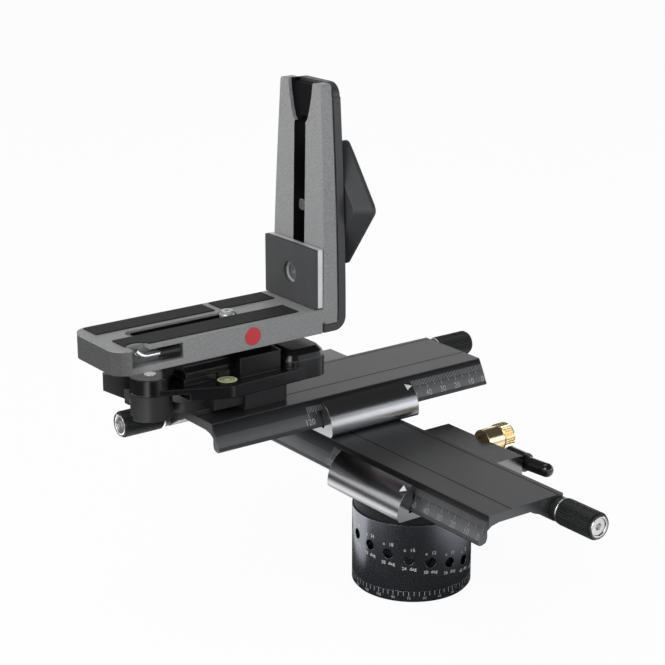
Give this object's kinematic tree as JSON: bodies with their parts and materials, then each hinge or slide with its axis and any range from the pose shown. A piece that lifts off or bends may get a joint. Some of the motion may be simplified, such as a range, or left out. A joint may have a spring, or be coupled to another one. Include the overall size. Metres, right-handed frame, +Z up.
{
  "type": "panoramic tripod head",
  "caption": "Indexing pan rotator with two crossed scale slides, a quick release and an L-bracket that sets a camera over its no-parallax point.",
  "frame": {"origin": "mouth of the tripod thread, in the middle of the foot's underside", "axes": "+Z up, +X along the upper slide, +Y along the lower slide"},
  "size_m": [0.2589, 0.2522, 0.249],
  "materials": {
    "foot_black": "satin black",
    "ring_black": "satin black with printed scale",
    "core_steel": "machined",
    "housing_black": "satin black",
    "neck_cast": "rough cast, painted black",
    "plate_grey": "satin dark grey anodised",
    "carriage_black": "black anodised",
    "screw_steel": "turned steel",
    "knob_black": "knurled, black anodised",
    "brass": "polished",
    "lever_black": "gloss black",
    "release_grey": "fine textured grey",
    "release_black": "semi-gloss black",
    "level_green": "clear yellow-green",
    "bracket_grey": "fine textured grey casting",
    "band_grey": "fine textured dark grey",
    "pad_rubber": "ribbed rubber",
    "badge_red": "gloss red",
    "clamp_dark": "textured",
    "clamp_metal": "satin",
    "grip_rubber": "soft-touch charcoal",
    "chrome": "polished",
    "sleeve_black": "matte black"
  },
  "bodies": {
    "base": {"base_disc": "foot_black", "base_screws": "screw_steel", "tripod_bush": "screw_steel", "index_core": "core_steel", "spindle": "screw_steel", "thrust_washer": "brass", "spindle_nut": "screw_steel"},
    "scale_ring": {"scale_ring": "ring_black", "ring_grub": "knob_black"},
    "rotor": {"index_housing": "housing_black", "neck_collar": "neck_cast", "neck_bolts": "screw_steel", "plunger_sleeve": "screw_steel", "lower_carriage": "carriage_black", "lower_lock_shoe": "brass"},
    "index_plunger": {"index_plunger": "chrome"},
    "lower_slide": {"lower_plate": "plate_grey", "lower_bearings": "carriage_black", "upper_carriage": "carriage_black", "carriage_bolts": "screw_steel", "upper_lock_shoe": "brass"},
    "lower_screw": {"lower_lead_screw": "screw_steel", "lower_near_knob": "knob_black", "lower_far_knob": "knob_black"},
    "lower_lock": {"lower_lock_knob": "brass"},
    "lower_lever": {"lower_lever": "lever_black", "lower_lever_pin": "lever_black"},
    "lower_half_nut": {"lower_half_nut": "brass"},
    "upper_slide": {"upper_plate": "plate_grey", "upper_bearings": "carriage_black", "release_base": "release_grey", "release_body": "release_black", "release_pivot": "screw_steel", "level_vial": "level_green", "bracket_foot": "release_black", "bracket": "bracket_grey", "bracket_band": "band_grey", "rear_pads": "pad_rubber", "front_pad": "pad_rubber", "badge": "badge_red"},
    "upper_screw": {"upper_lead_screw": "screw_steel", "upper_right_knob": "knob_black", "upper_left_knob": "knob_black"},
    "upper_lock": {"upper_lock_knob": "brass"},
    "upper_lever": {"upper_lever": "lever_black", "upper_lever_pin": "lever_black"},
    "upper_half_nut": {"upper_half_nut": "brass"},
    "release_lever": {"release_lever": "release_grey"},
    "release_jaw": {"release_jaw": "release_grey"},
    "clamp_plate": {"clamp_pad": "clamp_dark", "clamp_plate": "clamp_metal", "clamp_screw": "chrome"},
    "knob_carrier": {"knob_stud": "chrome"},
    "clamp_knob": {"clamp_knob": "grip_rubber"},
    "camera_carrier": {"screw_slider": "release_black"},
    "camera_screw": {"camera_screw": "chrome"},
    "hex_key": {"key_wire": "chrome", "key_sleeve": "sleeve_black"}
  },
  "joints": [
    {"name": "ring_turn", "type": "hinge", "parent": "base", "child": "scale_ring", "pos_m": [0, 0, 0.003], "axis": [0, 0, 1], "continuous": true},
    {"name": "pan", "type": "hinge", "parent": "base", "child": "rotor", "pos_m": [0, 0, 0.04], "axis": [0, 0, 1], "continuous": true},
    {"name": "plunger_pull", "type": "slide", "parent": "rotor", "child": "index_plunger", "axis": [0.6293, 0.7771, 0], "range_m": [0, 0.004], "stiffness_N_per_m": 400},
    {"name": "lower_travel", "type": "slide", "parent": "rotor", "child": "lower_slide", "axis": [0, 1, 0], "range_m": [-0.069, 0.051]},
    {"name": "lower_screw_turn", "type": "hinge", "parent": "lower_slide", "child": "lower_screw", "pos_m": [0.0265, 0, 0.0593], "axis": [0, 1, 0], "range_deg": [-16600, 12300]},
    {"name": "lower_lock_turn", "type": "hinge", "parent": "rotor", "child": "lower_lock", "pos_m": [0.06, 0.003, 0.0628], "axis": [1, 0, 0], "range_deg": [0, 360]},
    {"name": "lower_lever_turn", "type": "hinge", "parent": "rotor", "child": "lower_lever", "pos_m": [0.05, -0.02, 0.0593], "axis": [1, 0, 0], "range_deg": [0, 20], "stiffness_Nm_per_rad": 0.3},
    {"name": "lower_nut_release", "type": "slide", "parent": "rotor", "child": "lower_half_nut", "axis": [1, 0, 0], "range_m": [0, 0.0022]},
    {"name": "upper_travel", "type": "slide", "parent": "lower_slide", "child": "upper_slide", "axis": [1, 0, 0], "range_m": [-0.055, 0.065]},
    {"name": "upper_screw_turn", "type": "hinge", "parent": "upper_slide", "child": "upper_screw", "pos_m": [0, 0.1038, 0.0776], "axis": [1, 0, 0], "range_deg": [-13300, 15700]},
    {"name": "upper_lock_turn", "type": "hinge", "parent": "lower_slide", "child": "upper_lock", "pos_m": [0.0081, 0.135, 0.0811], "axis": [0, 1, 0], "range_deg": [0, 360]},
    {"name": "upper_lever_turn", "type": "hinge", "parent": "lower_slide", "child": "upper_lever", "pos_m": [-0.0089, 0.127, 0.0776], "axis": [0, -1, 0], "range_deg": [0, 20], "stiffness_Nm_per_rad": 0.3},
    {"name": "upper_nut_release", "type": "slide", "parent": "lower_slide", "child": "upper_half_nut", "axis": [0, 1, 0], "range_m": [0, 0.0022]},
    {"name": "release_turn", "type": "hinge", "parent": "upper_slide", "child": "release_lever", "pos_m": [-0.104, 0.0829, 0.095], "axis": [0, 0, 1], "range_deg": [0, 60]},
    {"name": "jaw_open", "type": "slide", "parent": "upper_slide", "child": "release_jaw", "axis": [0, 1, 0], "range_m": [0, 0.0015]},
    {"name": "clamp_lift", "type": "slide", "parent": "upper_slide", "child": "clamp_plate", "axis": [0, 0, 1], "range_m": [0, 0.012]},
    {"name": "knob_lift", "type": "slide", "parent": "upper_slide", "child": "knob_carrier", "axis": [0, 0, 1], "range_m": [-0.014, 0.034]},
    {"name": "knob_turn", "type": "hinge", "parent": "knob_carrier", "child": "clamp_knob", "pos_m": [0.01, 0.0829, 0.184], "axis": [1, 0, 0], "range_deg": [0, 360]},
    {"name": "camera_travel", "type": "slide", "parent": "upper_slide", "child": "camera_carrier", "axis": [-1, 0, 0], "range_m": [0, 0.054]},
    {"name": "camera_screw_turn", "type": "hinge", "parent": "camera_carrier", "child": "camera_screw", "pos_m": [-0.0572, 0.0829, 0.13], "axis": [0, 0, 1], "continuous": true},
    {"name": "key_pull", "type": "slide", "parent": "upper_slide", "child": "hex_key", "axis": [0, -1, 0], "range_m": [0, 0.02]}
  ],
  "couplings": [
    {"joint": "lower_screw_turn", "follows": "lower_travel", "rad_per_m": 4188.8},
    {"joint": "upper_screw_turn", "follows": "upper_travel", "rad_per_m": 4188.8},
    {"joint": "lower_nut_release", "follows": "lower_lever_turn", "m_per_rad": 0.0061593},
    {"joint": "upper_nut_release", "follows": "upper_lever_turn", "m_per_rad": 0.0061593},
    {"joint": "jaw_open", "follows": "release_turn", "m_per_rad": 0.0013846}
  ]
}
